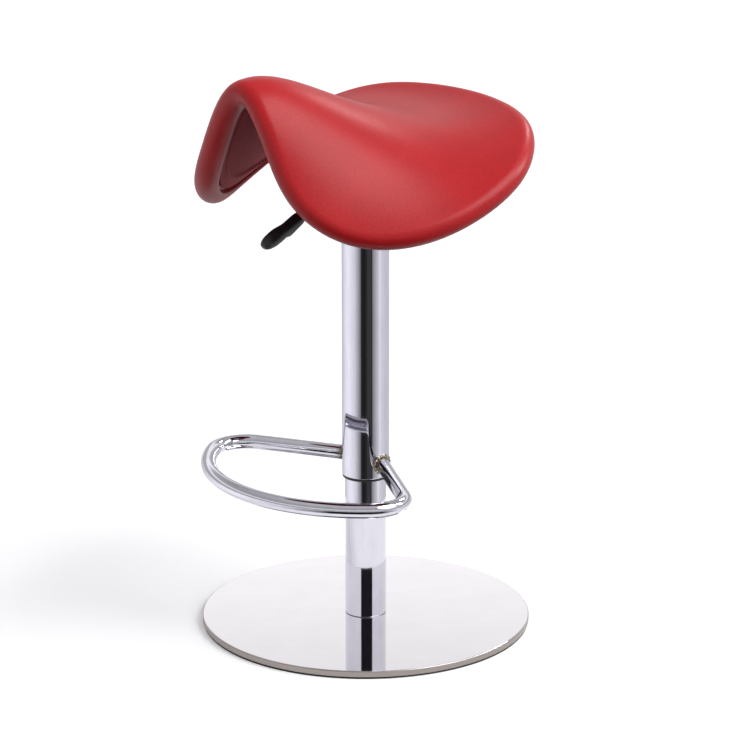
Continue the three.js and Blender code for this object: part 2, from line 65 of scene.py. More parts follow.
def smoothBelow(shape, degrees):  # edges sharper than this stay sharp in the shading
    for face in shape.faces:
        face.smooth = True
    for edge in shape.edges:
        edge.smooth = len(edge.link_faces) == 2 and edge.calc_face_angle() < math.radians(degrees)


def roundCorners(shape, width, segments=3, degrees=55):
    limit = math.radians(degrees)
    corners = [edge for edge in shape.edges if len(edge.link_faces) == 2 and edge.calc_face_angle() > limit]
    bmesh.ops.bevel(shape, geom=corners, offset=width, offset_type="OFFSET", segments=segments,
                    profile=0.5, affect="EDGES", clamp_overlap=True, material=-1)


def turned(profile, steps=128, loop=False):  # spins (radius, height) points round the column's axis
    shape = bmesh.new()
    corners = [shape.verts.new((radius, 0, height)) for radius, height in profile]
    sides = [shape.edges.new(pair) for pair in zip(corners, corners[1:])]
    if loop:
        sides.append(shape.edges.new((corners[-1], corners[0])))
    bmesh.ops.spin(shape, geom=corners + sides, cent=(0, 0, 0), axis=(0, 0, 1),
                   angle=2 * math.pi, steps=steps, use_merge=True)
    bmesh.ops.remove_doubles(shape, verts=shape.verts, dist=0.001)
    bmesh.ops.recalc_face_normals(shape, faces=shape.faces)
    return shape


def vertsIn(parts):
    return [part for part in parts if isinstance(part, bmesh.types.BMVert)]


def drawnOut(shape, edges):  # extrudes open edges; gives the new vertices and the edges between them
    grown = bmesh.ops.extrude_edge_only(shape, edges=edges)["geom"]
    verts = vertsIn(grown)
    fresh = set(verts)
    edges = [part for part in grown if isinstance(part, bmesh.types.BMEdge)]
    return verts, [edge for edge in edges if fresh.issuperset(edge.verts)]


# A circle drawn out ring by ring: place gives a point for a station and a share of the turn.
def loft(place, stations, slices):
    shape = bmesh.new()
    turn = shape.verts.layers.float.new("turn")
    ring = bmesh.ops.create_circle(shape, cap_ends=False, radius=1, segments=slices)["verts"]
    for number, vert in enumerate(ring):
        vert[turn] = number / slices
    edges = list(shape.edges)
    for number, station in enumerate(stations):
        if number:
            ring, edges = drawnOut(shape, edges)
        for vert in ring:
            vert.co = place(station, vert[turn])
    bmesh.ops.remove_doubles(shape, verts=shape.verts, dist=0.0005)
    bmesh.ops.recalc_face_normals(shape, faces=shape.faces)
    return shape


def combined(shape, tool, operation):  # joins, cuts or intersects two closed shapes
    objects = []
    for part in (shape, tool):
        mesh = bpy.data.meshes.new("working")
        part.to_mesh(mesh)
        part.free()
        objects.append(bpy.data.objects.new("working", mesh))
        scene.collection.objects.link(objects[-1])
    step = objects[0].modifiers.new("step", "BOOLEAN")
    step.operation = operation
    step.solver = "EXACT"
    step.object = objects[1]
    result = bmesh.new()
    result.from_object(objects[0], bpy.context.evaluated_depsgraph_get())
    for part in objects:
        mesh = part.data
        bpy.data.objects.remove(part)
        bpy.data.meshes.remove(mesh)
    return result


def roundedPath(corners, reach, steps=10):  # a polyline whose inner corners are drawn as curves
    points = [corners[0]]
    for before, corner, after in zip(corners, corners[1:], corners[2:]):
        start = corner + (before - corner).normalized() * reach
        end = corner + (after - corner).normalized() * reach
        for number in range(steps + 1):
            share = number / steps
            points.append(start * (1 - share) ** 2 + corner * 2 * share * (1 - share) + end * share ** 2)
    return points + [corners[-1]]


def roundBar(path, radius, sides=24):
    neighbours = zip([path[0]] + path, path[1:] + [path[-1]])
    directions = [(after - before).normalized() for before, after in neighbours]
    sideways = Vector((1, 0, 0))
    frames = []
    for point, direction in zip(path, directions):
        upright = direction.cross(sideways).normalized()
        sideways = upright.cross(direction).normalized()
        frames.append((point, sideways, upright))

    def place(frameHere, turn):
        point, across, upright = frameHere
        angle = 2 * math.pi * turn
        return point + (across * math.cos(angle) + upright * math.sin(angle)) * radius

    shape = loft(place, frames, sides)
    bmesh.ops.holes_fill(shape, edges=shape.edges, sides=sides)
    bmesh.ops.recalc_face_normals(shape, faces=shape.faces)
    return shape


def addPiece(name, shape, material, slot, *nodes, sharp=40):
    bmesh.ops.scale(shape, vec=(0.001, 0.001, 0.001), verts=shape.verts)
    smoothBelow(shape, sharp)
    mesh = bpy.data.meshes.new(name)
    shape.to_mesh(mesh)
    shape.free()
    mesh.materials.append(material)
    piece = bpy.data.objects.new(name, mesh)
    scene.collection.objects.link(piece)
    flats = piece.modifiers.new("flats stay flat", "WEIGHTED_NORMAL")
    flats.keep_sharp = True
    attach(piece, nodeBodies[nodes[0]])
    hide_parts(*nodes)
    print("made", name)
    return piece


# Helpers for materials

def hexColour(code):  # sRGB hex to linear
    values = [int(code[place:place + 2], 16) / 255 for place in (1, 3, 5)]
    return [v / 12.92 if v <= 0.04045 else ((v + 0.055) / 1.055) ** 2.4 for v in values] + [1]


def perMetre(millimetres):  # texture scale for features of this size
    return 1000 / millimetres


def addNode(tree, kind, **settings):  # inputs is a dictionary of values or linked outputs
    node = tree.nodes.new("ShaderNode" + kind)
    inputs = settings.pop("inputs", {})
    for key, value in settings.items():
        setattr(node, key, value)
    for key, value in inputs.items():
        if isinstance(value, bpy.types.NodeSocket):
            tree.links.new(value, node.inputs[key])
        else:
            node.inputs[key].default_value = value
    return node


def newMaterial(name):
    material = bpy.data.materials.new(name)
    material.use_nodes = True
    tree = material.node_tree
    tree.nodes.clear()
    place = addNode(tree, "TexCoord").outputs["Object"]
    return material, tree, place


def noise(tree, place, size, detail=3, roughness=0.5):
    return addNode(tree, "TexNoise", inputs={
        "Vector": place, "Scale": perMetre(size), "Detail": detail, "Roughness": roughness}).outputs["Fac"]


def spread(tree, value, low, high, fromLow=0.3, fromHigh=0.7):
    return addNode(tree, "MapRange", inputs={
        "Value": value, "From Min": fromLow, "From Max": fromHigh,
        "To Min": low, "To Max": high}).outputs["Result"]


def blendColours(tree, amount, first, second):
    mix = addNode(tree, "Mix", data_type="RGBA", inputs={0: amount, 6: first, 7: second})
    return mix.outputs[2]


def bump(tree, height, millimetres, strength=1.0, under=None):
    inputs = {"Height": height, "Distance": millimetres * 0.001, "Strength": strength}
    if under:
        inputs["Normal"] = under
    return addNode(tree, "Bump", inputs=inputs).outputs["Normal"]


def finishMaterial(tree, **inputs):
    settings = {key.replace("_", " "): value for key, value in inputs.items()}
    shader = addNode(tree, "BsdfPrincipled", inputs=settings)
    addNode(tree, "OutputMaterial", inputs={"Surface": shader.outputs["BSDF"]})


# Materials

def integralSkinFoam():  # moulded polyurethane foam with its own skin: satin, with a pebbled leather grain
    look = {"red": "#C01D22", "deepRed": "#B2171D", "valleyShadeRed": "#8E1219", "grain": 2.0, "fineGrain": 0.6,
            "cloud": 55, "grainDepth": 0.14, "fineDepth": 0.04, "roughLow": 0.31, "roughHigh": 0.4}
    material, tree, place = newMaterial("integralSkinFoam")
    cells = addNode(tree, "TexVoronoi", feature="SMOOTH_F1", inputs={
        "Vector": place, "Scale": perMetre(look["grain"]), "Smoothness": 0.35,
        "Randomness": 0.9}).outputs["Distance"]
    fine = noise(tree, place, look["fineGrain"], detail=4, roughness=0.6)
    cloud = noise(tree, place, look["cloud"], detail=2)
    shade = spread(tree, cloud, 0.0, 0.75)
    # darker red painted as shade into the valleys of the grain
    valleyShade = spread(tree, cells, 0.0, 0.35, 0.25, 0.75)
    red = blendColours(tree, shade, hexColour(look["red"]), hexColour(look["deepRed"]))
    red = blendColours(tree, valleyShade, red, hexColour(look["valleyShadeRed"]))
    grain = bump(tree, cells, look["grainDepth"], 0.55)
    grain = bump(tree, fine, look["fineDepth"], 0.6, under=grain)
    finishMaterial(tree, Base_Color=red, Roughness=spread(tree, fine, look["roughLow"], look["roughHigh"]),
                   IOR=1.45, Specular_IOR_Level=0.3, Normal=grain)
    return material


def mouldedShell():  # dark red polypropylene moulding: satin, with faint flow marks and handling haze
    look = {"wine": "#A3262F", "deepWine": "#92202A", "flow": 70, "haze": 9, "skin": 1.2, "skinDepth": 0.004}
    material, tree, place = newMaterial("mouldedShellPolypropylene")
    flow = noise(tree, place, look["flow"], detail=2)
    haze = noise(tree, place, look["haze"], detail=5, roughness=0.65)
    skin = noise(tree, place, look["skin"], detail=2)
    wine = blendColours(tree, spread(tree, flow, 0, 1), hexColour(look["wine"]),
                        hexColour(look["deepWine"]))
    finishMaterial(tree, Base_Color=wine, Roughness=spread(tree, haze, 0.5, 0.6), IOR=1.49,
                   Specular_IOR_Level=0.08, Normal=bump(tree, skin, look["skinDepth"], 0.5))
    return material


def pastRadius(tree, place, radius, fade):  # 0 up to this far from the column's axis, 1 past the fade, in mm
    flat = addNode(tree, "VectorMath", operation="MULTIPLY", inputs={0: place, 1: (1, 1, 0)}).outputs[0]
    distance = addNode(tree, "VectorMath", operation="LENGTH", inputs={0: flat}).outputs["Value"]
    return spread(tree, distance, 0, 1, radius * 0.001, (radius + fade) * 0.001)


def chromePlate():  # decorative chrome over nickel on drawn tube: cool mirror with faint wiping marks
    look = {"tint": "#DAD9E1", "tintWorn": "#CFCED8", "wipe": 14, "speck": 1.1,
            "heat": "#8D8478", "heatRough": 0.28,
            "weldStart": 28.7, "weldEnd": 36, "weldFade": 7}  # millimetres from the column's axis
    material, tree, place = newMaterial("chromePlate")
    stretched = addNode(tree, "Mapping", inputs={"Vector": place, "Scale": (1, 1, 0.25)}).outputs["Vector"]
    wipe = noise(tree, stretched, look["wipe"], detail=6, roughness=0.7)
    speck = noise(tree, place, look["speck"], detail=2)
    tint = blendColours(tree, spread(tree, wipe, 0, 1), hexColour(look["tint"]),
                        hexColour(look["tintWorn"]))
    # the ring's welds lie this near the column, duller and browned by heat, and fade out along the tube
    nearWeld = pastRadius(tree, place, look["weldStart"], 0.4)
    beyondWeld = pastRadius(tree, place, look["weldEnd"], look["weldFade"])
    weld = addNode(tree, "Math", operation="SUBTRACT", inputs={0: nearWeld, 1: beyondWeld}).outputs[0]
    tint = blendColours(tree, weld, tint, hexColour(look["heat"]))
    rough = addNode(tree, "Math", operation="MULTIPLY_ADD", inputs={
        0: weld, 1: look["heatRough"], 2: spread(tree, wipe, 0.025, 0.06)}).outputs[0]
    finishMaterial(tree, Base_Color=tint, Metallic=1.0, Roughness=rough,
                   Normal=bump(tree, speck, 0.0006, 0.4))
    return material


def mirrorStainless():  # stainless sheet polished to a mirror, with hair-fine turning marks left in rings
    look = {"steel": "#E6E3E6", "steelDim": "#E2DFE2", "ring": 1.6, "smear": 45, "dust": 2.5,
            "groundAndShade": "#9C9490", "groundRough": 0.3, "rim": 199.3}  # the plate's side is ground and rougher, and painted darker as shade
    material, tree, place = newMaterial("mirrorStainless")
    rings = addNode(tree, "TexWave", wave_type="RINGS", rings_direction="Z", inputs={
        "Vector": place, "Scale": perMetre(look["ring"]) / 20, "Distortion": 0.4,
        "Detail": 2.0}).outputs["Fac"]
    smear = noise(tree, place, look["smear"], detail=5, roughness=0.62)
    dust = noise(tree, place, look["dust"], detail=3)
    tint = blendColours(tree, spread(tree, smear, 0, 1), hexColour(look["steel"]),
                        hexColour(look["steelDim"]))
    rough = addNode(tree, "Math", operation="MULTIPLY_ADD",
                    inputs={0: dust, 1: 0.02, 2: spread(tree, smear, 0.02, 0.04)}).outputs[0]
    # past the rim radius the side is rougher, and its darker brownish tint is painted shade
    side = pastRadius(tree, place, look["rim"], 0.3)
    tint = blendColours(tree, side, tint, hexColour(look["groundAndShade"]))
    rough = addNode(tree, "Math", operation="MULTIPLY_ADD", inputs={
        0: side, 1: look["groundRough"], 2: rough}).outputs[0]
    finishMaterial(tree, Base_Color=tint, Metallic=1.0, Roughness=rough,
                   Normal=bump(tree, rings, 0.0004, 0.3))
    return material


def zincPlate():  # bright zinc plating on turned steel: bluish, with a fine crystalline mottle
    look = {"zinc": "#B9BDC2", "zincDark": "#9BA0A7", "spangle": 2.2, "tool": 0.5}
    material, tree, place = newMaterial("brightZincPlate")
    spangle = addNode(tree, "TexVoronoi", inputs={
        "Vector": place, "Scale": perMetre(look["spangle"])}).outputs["Color"]
    grey = addNode(tree, "RGBToBW", inputs={"Color": spangle}).outputs["Val"]
    tool = noise(tree, place, look["tool"], detail=2)
    tint = blendColours(tree, spread(tree, grey, 0, 1), hexColour(look["zinc"]),
                        hexColour(look["zincDark"]))
    finishMaterial(tree, Base_Color=tint, Metallic=1.0, Roughness=spread(tree, grey, 0.24, 0.4),
                   Normal=bump(tree, tool, 0.006, 0.5))
    return material


def powderCoat():  # black powder coat on pressed steel: low gloss with the orange peel of melted powder
    look = {"black": "#17181A", "dust": "#26272A", "peel": 1.4, "cloud": 30}
    material, tree, place = newMaterial("blackPowderCoat")
    peel = noise(tree, place, look["peel"], detail=2, roughness=0.45)
    cloud = noise(tree, place, look["cloud"], detail=4)
    tint = blendColours(tree, spread(tree, cloud, 0, 1), hexColour(look["black"]), hexColour(look["dust"]))
    finishMaterial(tree, Base_Color=tint, Roughness=spread(tree, cloud, 0.4, 0.52), IOR=1.5,
                   Normal=bump(tree, peel, 0.05, 0.6))
    return material


def handlePolypropylene():  # black polypropylene moulding: spark-eroded fine texture, shinier where held
    look = {"black": "#141416", "worn": "#232327", "spark": 0.45, "hold": 16}
    material, tree, place = newMaterial("handlePolypropylene")
    spark = noise(tree, place, look["spark"], detail=3, roughness=0.6)
    hold = noise(tree, place, look["hold"], detail=3)
    tint = blendColours(tree, spread(tree, hold, 0, 1), hexColour(look["black"]), hexColour(look["worn"]))
    finishMaterial(tree, Base_Color=tint, Roughness=spread(tree, hold, 0.3, 0.46), IOR=1.49,
                   Normal=bump(tree, spark, 0.03, 0.6))
    return material


def turnedNylon():  # black nylon turned on a lathe: dull, with fine tool rings up its height
    look = {"black": "#1C1D20", "pale": "#2B2C30", "ring": 0.8, "cloud": 12}
    material, tree, place = newMaterial("turnedNylon")
    rings = addNode(tree, "TexWave", wave_type="BANDS", bands_direction="Z", inputs={
        "Vector": place, "Scale": perMetre(look["ring"]) / 20, "Distortion": 0.2}).outputs["Fac"]
    cloud = noise(tree, place, look["cloud"], detail=4)
    tint = blendColours(tree, spread(tree, cloud, 0, 1), hexColour(look["black"]), hexColour(look["pale"]))
    finishMaterial(tree, Base_Color=tint, Roughness=spread(tree, cloud, 0.45, 0.6), IOR=1.53,
                   Normal=bump(tree, rings, 0.02, 0.5))
    return material


def nitrileRubber():  # black rubber sheet: matt, with talc haze and a pebbled press surface
    look = {"black": "#161617", "talc": "#2A2A2B", "pebble": 0.9, "haze": 25}
    material, tree, place = newMaterial("nitrileRubber")
    pebble = addNode(tree, "TexVoronoi", inputs={
        "Vector": place, "Scale": perMetre(look["pebble"])}).outputs["Distance"]
    haze = noise(tree, place, look["haze"], detail=5, roughness=0.6)
    tint = blendColours(tree, spread(tree, haze, 0, 1), hexColour(look["black"]), hexColour(look["talc"]))
    finishMaterial(tree, Base_Color=tint, Roughness=spread(tree, haze, 0.72, 0.9), IOR=1.52,
                   Normal=bump(tree, pebble, 0.05, 0.6))
    return material


def turnedBrass():  # free-cutting brass straight from the lathe: bright, with fine tool rings
    look = {"brass": "#C8A45A", "tarnish": "#A98442", "ring": 0.6, "cloud": 8}
    material, tree, place = newMaterial("turnedBrass")
    rings = addNode(tree, "TexWave", wave_type="BANDS", bands_direction="Z", inputs={
        "Vector": place, "Scale": perMetre(look["ring"]) / 20}).outputs["Fac"]
    cloud = noise(tree, place, look["cloud"], detail=4)
    tint = blendColours(tree, spread(tree, cloud, 0, 1), hexColour(look["brass"]),
                        hexColour(look["tarnish"]))
    finishMaterial(tree, Base_Color=tint, Metallic=1.0, Roughness=spread(tree, cloud, 0.2, 0.34),
                   Normal=bump(tree, rings, 0.008, 0.5))
    return material


finishes = {
    "red_foam_skin": integralSkinFoam(),
    "red_shell": mouldedShell(),
    "chrome_plate": chromePlate(),
    "polished_stainless": mirrorStainless(),
    "zinc_steel": zincPlate(),
    "black_steel": powderCoat(),
    "black_plastic": handlePolypropylene(),
    "nylon": turnedNylon(),
    "black_rubber": nitrileRubber(),
    "brass": turnedBrass(),
}
nodeSlots = {part["node"]: part["material_slot"] for part in frame["record"]["subparts"]}
print("materials ready")


def addFor(node, shape, name=None, sharp=40):  # a piece that stands for one node and takes its slot
    slot = nodeSlots[node]
    return addPiece(name or node + "_skin", shape, finishes[slot], slot, node, sharp=sharp)


# Floor plate, rubber sheet and telescopic tubes

def plainTube(node, wall, edge):
    low, high = nodeBox(node)
    outer = high.x
    inner = outer - wall
    shape = turned([(inner, low.z), (outer, low.z), (outer, high.z), (inner, high.z)], loop=True)
    roundCorners(shape, edge)
    return shape


def plainDisc(node, edge, segments):
    low, high = nodeBox(node)
    shape = turned([(0, low.z), (high.x, low.z), (high.x, high.z), (0, high.z)], steps=192)
    roundCorners(shape, edge, segments)
    return shape


tubes = {"wall": 2, "sleeveWall": 1.5, "sleeveEdge": 0.5, "lowerEdge": 0.6, "plateEdge": 1.5, "padEdge": 0.4}
addFor("floor_pad", plainDisc("floor_pad", tubes["padEdge"], 2))
addFor("base_plate", plainDisc("base_plate", tubes["plateEdge"], 5))
addFor("lower_tube", plainTube("lower_tube", tubes["wall"], tubes["lowerEdge"]))
addFor("sleeve_tube", plainTube("sleeve_tube", tubes["sleeveWall"], tubes["sleeveEdge"]))


def sleeveBushShape():  # black ring whose lip shows under the sleeve
    bush = {"clearance": 0.3, "lip": 3, "edge": 0.4}
    low, high = nodeBox("sleeve_bush")
    tubeOuter = nodeBox("lower_tube")[1].x
    sleeveInner = nodeBox("sleeve_tube")[1].x - tubes["sleeveWall"]
    inner = tubeOuter + bush["clearance"]
    body = sleeveInner - bush["clearance"]
    shoulder = low.z + bush["lip"]
    shape = turned([(inner, low.z), (high.x, low.z), (high.x, shoulder), (body, shoulder), (body, high.z),
                    (inner, high.z)], loop=True)
    roundCorners(shape, bush["edge"])
    return shape


addFor("sleeve_bush", sleeveBushShape())


# Foot ring

footRing = {
    "tubeRadius": 9, "height": 206, "bowRadius": 187, "bowCentre": -4.3, "cornerRadius": 41,
    "legAngle": 61,        # degrees between a leg and straight ahead
    "legOffset": 15.6,     # each leg's line passes this far behind the column's axis
    "sides": 32, "cornerSteps": 22, "bowSteps": 60,
    "clearance": 0.05,     # between the legs and the sleeve
    "beadRadius": 2.6, "beadSpread": 0.9, "beadRipples": 15, "beadRipple": 0.16,
}


def footRingShape():
    ring = footRing
    angle = math.radians(ring["legAngle"])
    along = Vector((math.sin(angle), -math.cos(angle), 0))
    behind = Vector((math.cos(angle), math.sin(angle), 0))
    middle = Vector((0, ring["bowCentre"], 0))
    level = Vector((0, 0, ring["height"]))
    sleeveRadius = nodeBox("sleeve_tube")[1].x + ring["clearance"]

    def onSleeve(aside):  # how far out along a leg the sleeve's surface lies
        return math.sqrt(sleeveRadius ** 2 - aside ** 2)

    # The corner's centre lies one corner radius inside the leg and inside the bow.
    inset = behind * (ring["legOffset"] - ring["cornerRadius"])
    toCentre = inset - middle
    reach = ring["bowRadius"] - ring["cornerRadius"]
    half = toCentre.dot(along)
    distance = -half + math.sqrt(half ** 2 - toCentre.length_squared + reach ** 2)
    corner = inset + along * distance
    bowAngle = math.atan2(corner.y - middle.y, corner.x)
    cornerTurn = math.atan2(behind.y, behind.x) - bowAngle
    bowTurn = math.pi + 2 * bowAngle

    shape = bmesh.new()
    upright = Matrix((-behind, Vector((0, 0, 1)), along)).transposed().to_4x4()
    upright.translation = behind * ring["legOffset"] + along * onSleeve(ring["legOffset"]) + level
    first = bmesh.ops.create_circle(shape, cap_ends=False, radius=ring["tubeRadius"],
                                    segments=ring["sides"], matrix=upright)["verts"]
    for vert in first:  # the tube's end follows the round sleeve
        aside = vert.co.dot(behind)
        vert.co = behind * aside + along * onSleeve(aside) + Vector((0, 0, vert.co.z))
    verts, edges = drawnOut(shape, shape.edges[:])
    for vert in verts:
        vert.co += along * (distance - vert.co.dot(along))
    otherCorner = Vector((-corner.x, corner.y, 0))
    for centre, turn, steps in ((corner, cornerTurn, ring["cornerSteps"]),
                                (middle, bowTurn, ring["bowSteps"]),
                                (otherCorner, cornerTurn, ring["cornerSteps"])):
        last = bmesh.ops.spin(shape, geom=verts + edges, cent=centre + level, axis=(0, 0, 1), angle=-turn,
                              steps=steps, use_merge=False)["geom_last"]
        verts = vertsIn(last)
        edges = [part for part in last if isinstance(part, bmesh.types.BMEdge)]
    for vert in drawnOut(shape, edges)[0]:
        aside = Vector((-vert.co.x, vert.co.y, 0)).dot(behind)
        inward = behind * aside + along * onSleeve(aside)
        vert.co = Vector((-inward.x, inward.y, vert.co.z))
    bmesh.ops.holes_fill(shape, edges=shape.edges, sides=ring["sides"])

    # A rippled weld bead round each leg where it meets the sleeve.
    bead = bmesh.new()
    radius = ring["tubeRadius"] + ring["beadSpread"]
    section = Matrix((behind, along, behind.cross(along))).transposed().to_4x4()
    section.translation = behind * (ring["legOffset"] + radius) + level
    bmesh.ops.create_circle(bead, cap_ends=False, radius=ring["beadRadius"], segments=12, matrix=section)
    axisPoint = behind * ring["legOffset"] + level
    bmesh.ops.spin(bead, geom=bead.verts[:] + bead.edges[:], cent=axisPoint, axis=along, angle=2 * math.pi,
                   steps=120, use_merge=True)
    for vert in bead.verts:
        away = vert.co - axisPoint
        lengthwise = along * away.dot(along)
        radial = away - lengthwise
        spoke = radial.normalized() * radius
        ripple = 1 + ring["beadRipple"] * math.cos(
            ring["beadRipples"] * math.atan2(radial.z, radial.dot(behind)))
        vert.co = axisPoint + spoke + (radial - spoke + lengthwise) * ripple
        vert.co += along * onSleeve((axisPoint + spoke).dot(behind))
    bmesh.ops.mirror(bead, geom=bead.verts[:] + bead.edges[:] + bead.faces[:], axis="X", merge_dist=-1)
    welds = bpy.data.meshes.new("ringWelds")
    bead.to_mesh(welds)
    bead.free()
    shape.from_mesh(welds)
    bmesh.ops.recalc_face_normals(shape, faces=shape.faces)
    return shape


addFor("foot_ring", footRingShape(), sharp=60)


# Steelwork under the seat: each CAD shape merged, with its edges broken as on the real pressing

def brokenEdges(node, width, segments=2):
    shape = bmesh.new()
    shape.from_mesh(frame["nodes"][node].data)
    bmesh.ops.scale(shape, vec=(1000, 1000, 1000), verts=shape.verts)
    bmesh.ops.remove_doubles(shape, verts=shape.verts, dist=0.01)
    bmesh.ops.dissolve_limit(shape, angle_limit=math.radians(1), verts=shape.verts, edges=shape.edges)
    roundCorners(shape, width, segments)
    return shape


steelEdges = {"mount_plate": 0.6, "lever_channel": 0.8, "sleeve_flange": 0.6, "taper_socket": 0.4,
              "lever_rocker": 0.5, "lever_pivot_pin": 0.4, "gas_cylinder": 0.3}
for number in range(1, 5):
    steelEdges[f"flange_screw_{number}"] = 0.25
    steelEdges[f"seat_screw_{number}"] = 0.3
for node, width in steelEdges.items():
    addFor(node, brokenEdges(node, width))


# Release lever

lever = {
    "rodRadius": 4, "start": (0, -37, 579.8), "bend": (0, -66, 579.8), "bendReach": 12,
    "gripStart": (23.2, -119.2, 532.7), "gripEnd": (35.5, -184, 511), "kneeBack": 10,
    "rodInGrip": 40, "boreGap": 0.3,
}


def leverRodShape():
    gripStart = Vector(lever["gripStart"])
    grip = (Vector(lever["gripEnd"]) - gripStart).normalized()
    corners = [Vector(lever["start"]), Vector(lever["bend"]), gripStart - grip * lever["kneeBack"],
               gripStart + grip * lever["rodInGrip"]]
    shape = roundBar(roundedPath(corners, lever["bendReach"] * 0.8), lever["rodRadius"], 28)
    roundCorners(shape, 0.5)
    return shape


def leverGripShape():
    # share of the length, height above the axis, depth below it, half width; a finger stop is below
    stations = [
        (0.0, 4.4, 4.4, 4.4), (0.0, 6.2, 6.6, 7.2), (0.02, 7.0, 7.5, 8.2), (0.08, 7.2, 8.4, 8.5),
        (0.2, 6.8, 9.6, 8.4), (0.32, 6.4, 10.9, 8.3), (0.37, 6.4, 11.2, 8.3), (0.41, 6.6, 10.4, 8.4),
        (0.47, 7.2, 8.7, 8.7), (0.55, 8.1, 8.6, 9.2), (0.65, 8.5, 8.9, 9.6), (0.75, 8.0, 8.8, 9.6),
        (0.84, 7.2, 8.2, 9.1), (0.91, 6.1, 7.1, 8.0), (0.96, 4.6, 5.5, 6.2), (0.985, 3.1, 3.7, 4.4),
        (1.0, 0.0, 0.0, 0.0),
    ]
    start = Vector(lever["gripStart"])
    end = Vector(lever["gripEnd"])
    axis = (end - start).normalized()
    across = axis.cross(Vector((0, 0, 1))).normalized()
    upright = across.cross(axis)
    boreEnd = lever["rodInGrip"] / (end - start).length
    boreRadius = lever["rodRadius"] + lever["boreGap"]
    bore = [(boreEnd, 0, 0, 0), (boreEnd, boreRadius, boreRadius, boreRadius),
            (0.0, boreRadius, boreRadius, boreRadius)]

    def place(station, turn):
        share, upper, lower, width = station
        angle = 2 * math.pi * turn
        height = math.sin(angle) * (upper if math.sin(angle) > 0 else lower)
        return start.lerp(end, share) + across * math.cos(angle) * width + upright * height

    shape = loft(place, bore + stations, 40)
    longEdges = [edge for edge in shape.edges if edge.calc_length() > 5]
    bmesh.ops.subdivide_edges(shape, edges=longEdges, cuts=1, smooth=0.6, use_grid_fill=True)
    return shape


addFor("lever_rod", leverRodShape())
addFor("lever_grip", leverGripShape(), sharp=50)


# Seat

seat = {
    # middle line of the edge on the +X side, from the middle of the front to the middle of the back
    "rim": [(0, -177, 685), (35, -177, 659), (62, -175, 612), (92, -165, 568), (129, -130, 537),
            (167, -74, 533), (189, -7, 553), (186, 60, 583), (149, 113, 609), (88, 146, 622), (0, 159, 625)],
    "crown": 52,           # swell of the middle above a film stretched over the edge
    "crownForward": 60,    # more swell towards the front, less towards the back
    "half": 15,            # half the thickness of the edge
    "lip": 2,              # flat of the edge as seen from below
    "recess": 9,           # step up from the edge to the foam over the shell
    "fillet": 3.2,         # at the lip's inner edge and at the foot of the step
    "slices": 168,
    "waves": 12,
    "samples": 192,
}


def rimWaves():  # the edge as a sum of waves round it
    half = seat["rim"]
    points = np.array(half + [(-x, y, z) for x, y, z in half[-2:0:-1]], float)
    count = len(points)
    turns = np.arange(seat["samples"]) / seat["samples"]
    spot = turns * count
    index = np.floor(spot).astype(int)
    share = (spot - index)[:, None]
    p0, p1, p2, p3 = (points[(index + step) % count] for step in (-1, 0, 1, 2))
    line = 0.5 * (2 * p1 + (p2 - p0) * share + (2 * p0 - 5 * p1 + 4 * p2 - p3) * share ** 2
                  + (3 * p1 - p0 - 3 * p2 + p3) * share ** 3)
    orders = np.arange(seat["waves"] + 1)
    angles = 2 * math.pi * np.outer(orders, turns)
    weights = np.where(orders == 0, 1, 2) / seat["samples"]
    sines = np.sin(angles)
    cosines = np.cos(angles)
    return (orders, weights * (sines @ line[:, 0]), weights * (cosines @ line[:, 1]),
            weights * (cosines @ line[:, 2]))


waveOrders, wavesX, wavesY, wavesZ = rimWaves()


# The seat's middle layer: reach is 0 in the middle and 1 on the edge, and turn runs round it.
def seatLayer(reach, turn):
    angles = 2 * math.pi * waveOrders * turn
    fade = reach ** waveOrders
    swell = seat["crown"] + seat["crownForward"] * reach * math.cos(2 * math.pi * turn)
    return Vector((float(np.dot(wavesX * fade, np.sin(angles))),
                   float(np.dot(wavesY * fade, np.cos(angles))),
                   float(np.dot(wavesZ * fade, np.cos(angles))) + swell * (1 - reach * reach)))


def seatFrame(reach, turn):
    step = 1e-4
    safe = max(reach, 0.02)
    along = (seatLayer(safe, turn + step) - seatLayer(safe, turn - step)).normalized()
    outward = (seatLayer(safe + step, turn) - seatLayer(safe - step, turn)).normalized()
    upright = outward.cross(along).normalized()
    return seatLayer(reach, turn), upright, along.cross(upright).normalized()


middleUp = seatFrame(0, 0)[1]


# A station is its reach, its inset from the edge, its lift along the normal and its bulge outwards.
def onSeat(station, turn):
    reach, inset, lift, bulge = station
    if reach == 0:
        return seatLayer(0, turn) + middleUp * lift
    depth = (seatLayer(0.9, turn) - seatLayer(1, turn)).length / 0.1
    point, upright, outward = seatFrame(reach - inset / depth, turn)
    return point + upright * lift + outward * bulge


def seatCushionShape():
    half, lip, fillet = seat["half"], seat["lip"], seat["fillet"]
    under = seat["recess"] - half
    foot = lip + 2 * fillet
    quarter = math.pi / 2
    top = [(reach, 0, half, 0) for reach in np.linspace(0, 0.97, 34)]
    edge = [(1, 0, half * math.sin(a), half * math.cos(a)) for a in np.linspace(quarter, -quarter, 19)]
    flat = [(1, lip * share, -half, 0) for share in (0.25, 0.5, 0.75)]
    turnIn = [(1, lip + fillet * math.sin(a), -half + fillet * (1 - math.cos(a)), 0)
              for a in np.linspace(0, math.radians(80), 6)]
    turnOut = [(1, foot - fillet * math.sin(a), under - fillet * 0.6 * (1 - math.cos(a)), 0)
               for a in np.linspace(math.radians(70), 0, 5)]
    below = [(1, 12, under, 0)] + [(reach, 0, under, 0) for reach in np.linspace(0.86, 0, 14)]
    return loft(onSeat, top + edge + flat + turnIn + turnOut + below, seat["slices"])


cushion = addFor("seat_cushion", seatCushionShape(), sharp=60)


